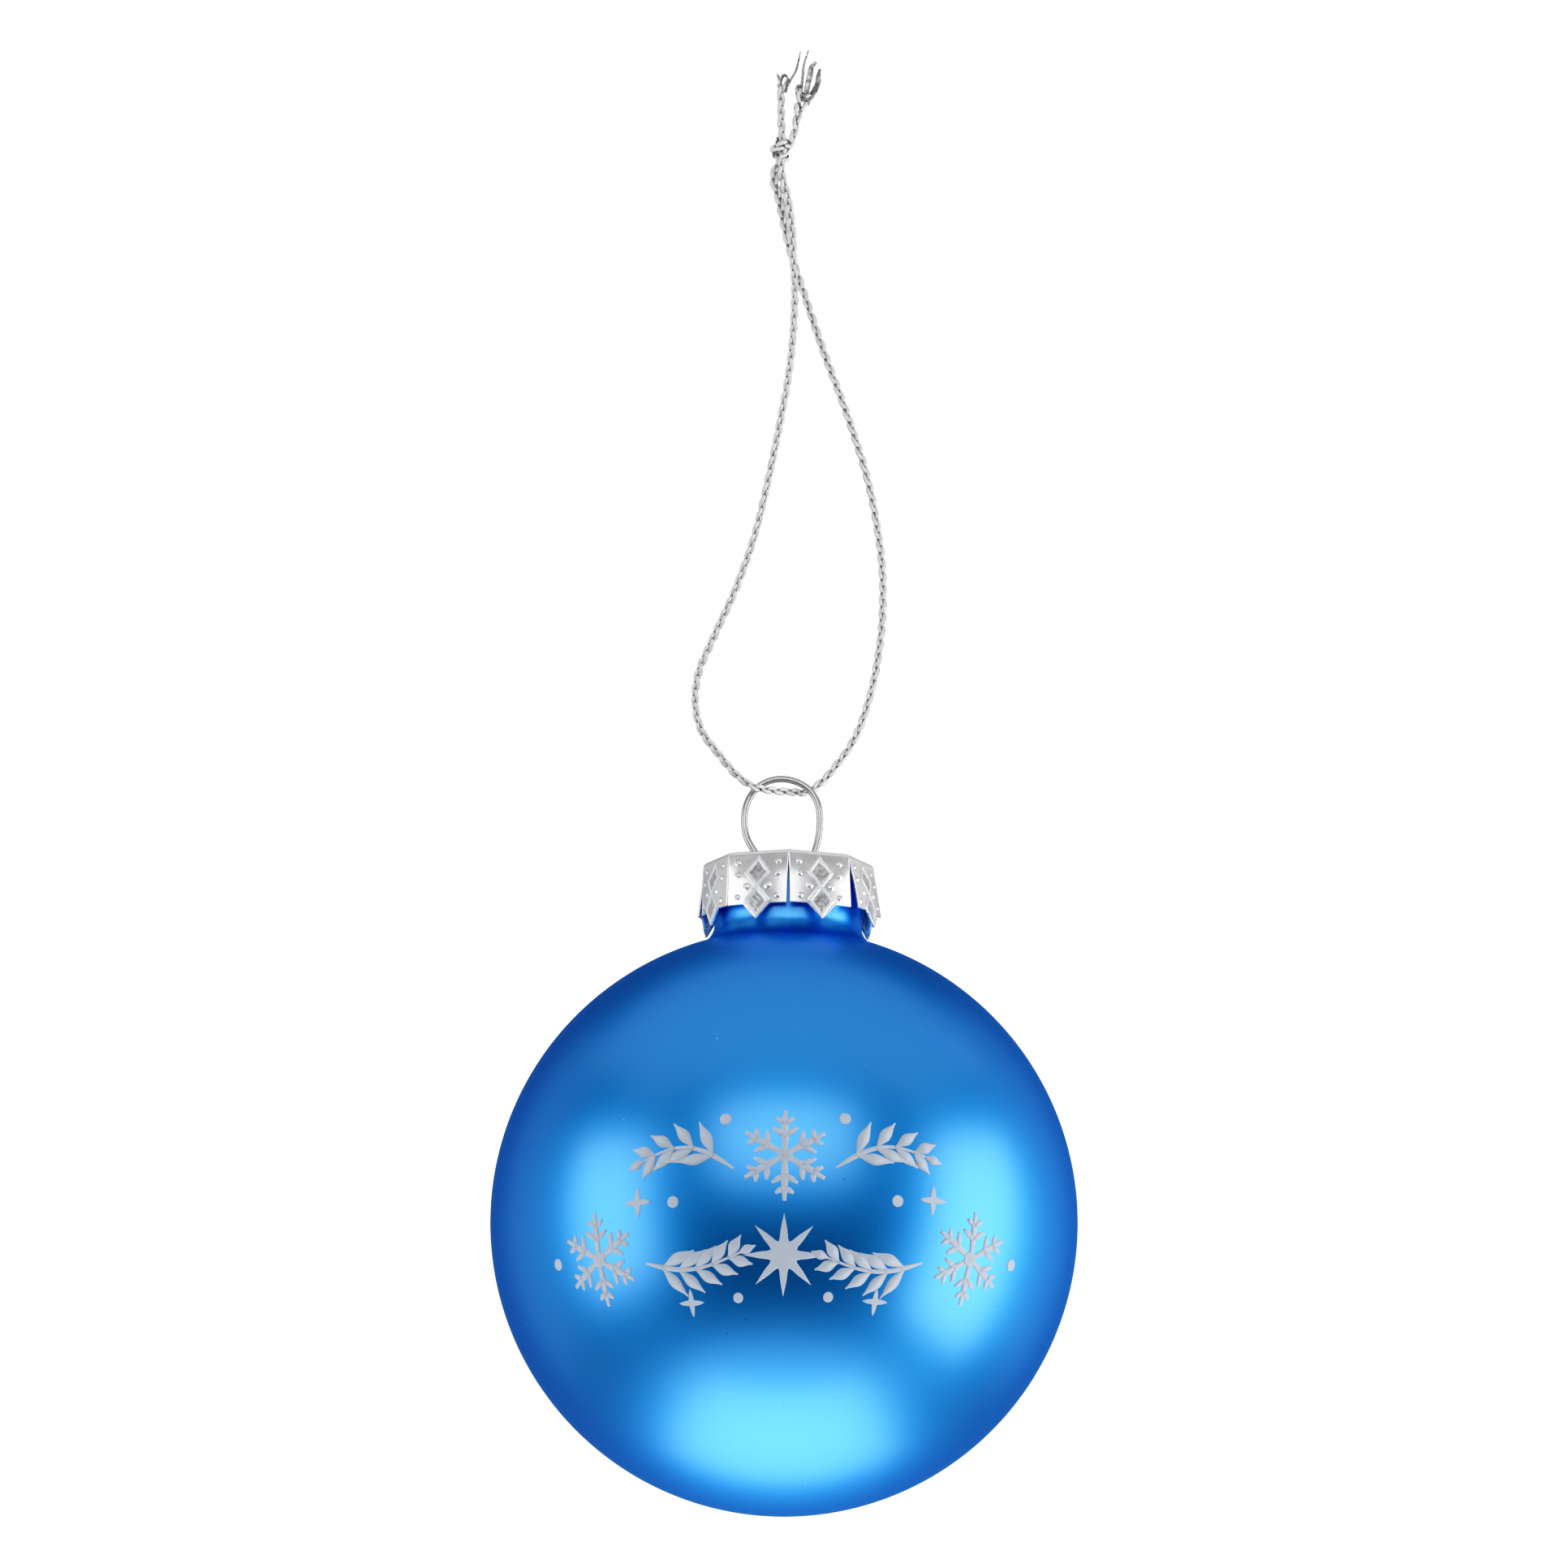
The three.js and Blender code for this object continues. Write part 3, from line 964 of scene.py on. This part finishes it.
def make_frays(name, routes, material):
    """Flat loose threads, each a closed strip that twists a little."""
    points, faces = [], []
    for n, (route, width) in enumerate(routes):
        line = smooth_route(route, FRAY_STEP)

        def facing(i, n=n):
            twist = math.radians(15 * math.sin(n * 2.3) + 30 * i / len(line) * math.cos(n * 1.7))
            return Vector((math.sin(twist), -math.cos(twist), 0))

        rings = []
        for i, (side, front) in enumerate(sides_and_fronts(line, facing)):
            share = i / (len(line) - 1)
            half = width / 2 * between(1.0, 0.55, eased((share - 0.7) / 0.3))
            rings.append(oval_ring(line[i], side, front, half, FRAY_THICKNESS / 2, FRAY_SIDES))
        sweep(rings, points, faces)
    return add_piece(name, points, faces, [material], "cord")


# ---------------------------------------------------------------- camera, lights and floor

CAMERA_TARGET = Vector((-0.000587, 0, -0.0524))
CAMERA_DISTANCE = 3.0
CAMERA_LOOKS_UP = math.radians(10.7)
CAMERA_ROLL = math.radians(0.75)
SENSOR_MM = 36.0
VIEW_WIDTH = 0.16052
LIGHT_DISTANCE = 0.6
FLOOR_LEVEL = -2.2
FLOOR_RADIUS = 1.5
FLOOR_SIDES = 64
FLOOR_GLOW = 1.1
BACKDROP_STRENGTH = 2.0  # plain white on this film
WORLD_BRIGHTEST = (0, 0.8, -0.6)  # towards where the surroundings are least dim
WORLD_STRENGTHS = (0.02, 0.48)
FILM_TOE = 0.11
FILM_WHITE = 2.2
FILM_SHOULDER = 2.2
FILM_POINTS = 16


def make_camera():
    """A long lens that looks slightly up at the ornament."""
    data = bpy.data.cameras.new("camera")
    data.sensor_width = SENSOR_MM
    data.lens = SENSOR_MM * CAMERA_DISTANCE / VIEW_WIDTH
    data.clip_start = 0.1
    data.clip_end = 20
    camera = bpy.data.objects.new("camera", data)
    back = Vector((0, -math.cos(CAMERA_LOOKS_UP), -math.sin(CAMERA_LOOKS_UP)))
    upright = (-back).to_track_quat("-Z", "Y").to_matrix()
    tilt = Matrix.Rotation(CAMERA_ROLL, 3, "Z")
    place = Matrix.Translation(CAMERA_TARGET + back * CAMERA_DISTANCE)
    camera.matrix_world = place @ (upright @ tilt).to_4x4()
    bpy.context.scene.collection.objects.link(camera)
    bpy.context.scene.camera = camera


def add_softbox(name, azimuth, elevation, half_wide, half_high, radiance):
    """A soft white light that looks at the ball; angles in degrees from it, azimuth 0 towards the camera."""
    a, e = math.radians(azimuth), math.radians(elevation)
    away = Vector((math.sin(a) * math.cos(e), -math.cos(a) * math.cos(e), math.sin(e)))
    data = bpy.data.lights.new(name, "AREA")
    data.shape = "RECTANGLE"
    data.size = 2 * LIGHT_DISTANCE * math.tan(math.radians(half_wide))
    data.size_y = 2 * LIGHT_DISTANCE * math.tan(math.radians(half_high))
    data.energy = radiance * math.pi * data.size * data.size_y
    light = bpy.data.objects.new(name, data)
    light.location = Vector(placed((0, 0, 0))) + away * LIGHT_DISTANCE
    light.rotation_euler = away.to_track_quat("Z", "Y").to_euler()
    light.visible_camera = False
    bpy.context.scene.collection.objects.link(light)


def make_lights():
    add_softbox("left_softbox", -71, -1, 18, 24, 3.4)
    add_softbox("right_softbox", 80, -6, 21, 31, 4.2)
    add_softbox("right_rear_softbox", 124, 12, 20, 34, 0.4)
    add_softbox("left_rear_softbox", -120, 8, 16, 34, 0.4)
    add_softbox("front_softbox", 0, 23, 26, 16, 2.9)
    add_softbox("overhead_softbox", 0, 85, 50, 33, 0.8)
    add_softbox("low_softbox", 180, -76, 27, 27, 2.7)


def make_world():
    """White for the camera; what the ornament reflects is a dim grey, least dim from behind and below."""
    world = bpy.data.worlds.new("studio")
    world.use_nodes = True
    nodes, links = world.node_tree.nodes, world.node_tree.links
    nodes.clear()
    seen = nodes.new("ShaderNodeBackground")
    seen.inputs["Color"].default_value = (1, 1, 1, 1)
    seen.inputs["Strength"].default_value = BACKDROP_STRENGTH
    around = nodes.new("ShaderNodeBackground")
    towards = nodes.new("ShaderNodeVectorMath")
    towards.operation = "DOT_PRODUCT"
    towards.inputs[1].default_value = WORLD_BRIGHTEST
    links.new(nodes.new("ShaderNodeTexCoord").outputs["Generated"], towards.inputs[0])
    strength = add_range(nodes, links, towards.outputs["Value"], -0.4, 0.9, *WORLD_STRENGTHS)
    links.new(strength, around.inputs["Strength"])
    path = nodes.new("ShaderNodeLightPath")
    mix = nodes.new("ShaderNodeMixShader")
    output = nodes.new("ShaderNodeOutputWorld")
    links.new(path.outputs["Is Camera Ray"], mix.inputs[0])
    links.new(around.outputs[0], mix.inputs[1])
    links.new(seen.outputs[0], mix.inputs[2])
    links.new(mix.outputs[0], output.inputs["Surface"])
    bpy.context.scene.world = world


def film_response(light):
    """How bright the film shows some light, 0 to 1: dim light dimmer, and bright light eased to white."""
    toed = light**2 / (light + FILM_TOE)
    most = FILM_WHITE**2 / (FILM_WHITE + FILM_TOE)
    return 1 - (1 - toed / most) ** FILM_SHOULDER


def set_film():
    """A film-like response, the same for red, green and blue."""
    settings = bpy.context.scene.view_settings
    settings.view_transform = "Standard"
    settings.use_curve_mapping = True
    mapping = settings.curve_mapping
    mapping.white_level = (FILM_WHITE,) * 3
    response = mapping.curves[3]
    for i in range(1, FILM_POINTS):
        share = (i / FILM_POINTS) ** 2
        response.points.new(share, film_response(share * FILM_WHITE))
    mapping.update()


def make_floor():
    """A pale round floor far below the hanging ornament."""
    material, _, _, shader = new_material("floor_white")
    shader.inputs["Base Color"].default_value = (0.9, 0.9, 0.9, 1)
    shader.inputs["Roughness"].default_value = 0.9
    shader.inputs["Emission Color"].default_value = (1, 1, 1, 1)
    shader.inputs["Emission Strength"].default_value = FLOOR_GLOW
    mesh = bpy.data.meshes.new("floor")
    rim = []
    for i in range(FLOOR_SIDES):
        angle = 2 * math.pi * i / FLOOR_SIDES
        rim.append((FLOOR_RADIUS * math.cos(angle), FLOOR_RADIUS * math.sin(angle), FLOOR_LEVEL))
    mesh.from_pydata(rim, [], [tuple(range(FLOOR_SIDES))])
    mesh.materials.append(material)
    floor = bpy.data.objects.new("floor", mesh)
    bpy.context.scene.collection.objects.link(floor)


# ---------------------------------------------------------------- the scene

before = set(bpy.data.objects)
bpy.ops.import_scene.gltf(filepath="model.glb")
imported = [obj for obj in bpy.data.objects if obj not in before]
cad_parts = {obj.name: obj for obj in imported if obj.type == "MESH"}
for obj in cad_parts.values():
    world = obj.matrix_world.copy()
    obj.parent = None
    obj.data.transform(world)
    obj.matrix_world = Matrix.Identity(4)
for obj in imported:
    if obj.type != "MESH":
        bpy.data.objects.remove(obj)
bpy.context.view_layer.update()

make_camera()
painted_highlight_thread = cord_material()
# lit and shaded copies of one thread: painted highlight where strands lie uppermost, painted shade between them
threads = [painted_highlight_thread, painted_shade_thread_material("painted_shade_thread", 0.16, 0.42)]
# the knot's threads get a darker grey: painted shade inside the knot
knot_threads = [painted_highlight_thread, painted_shade_thread_material("knot_painted_shade_thread", 0.06, 0.26)]
braid, braid_line = make_cord(threads)
knot = make_knot(knot_threads)
cut_threads = cut_thread_material()
left_frays = make_frays("left_frays", LEFT_FRAYS, cut_threads)
right_frays = make_frays("right_frays", RIGHT_FRAYS, cut_threads)
make_ball()
make_print()
make_cap()
make_wire()
make_world()
make_lights()
make_floor()
set_film()
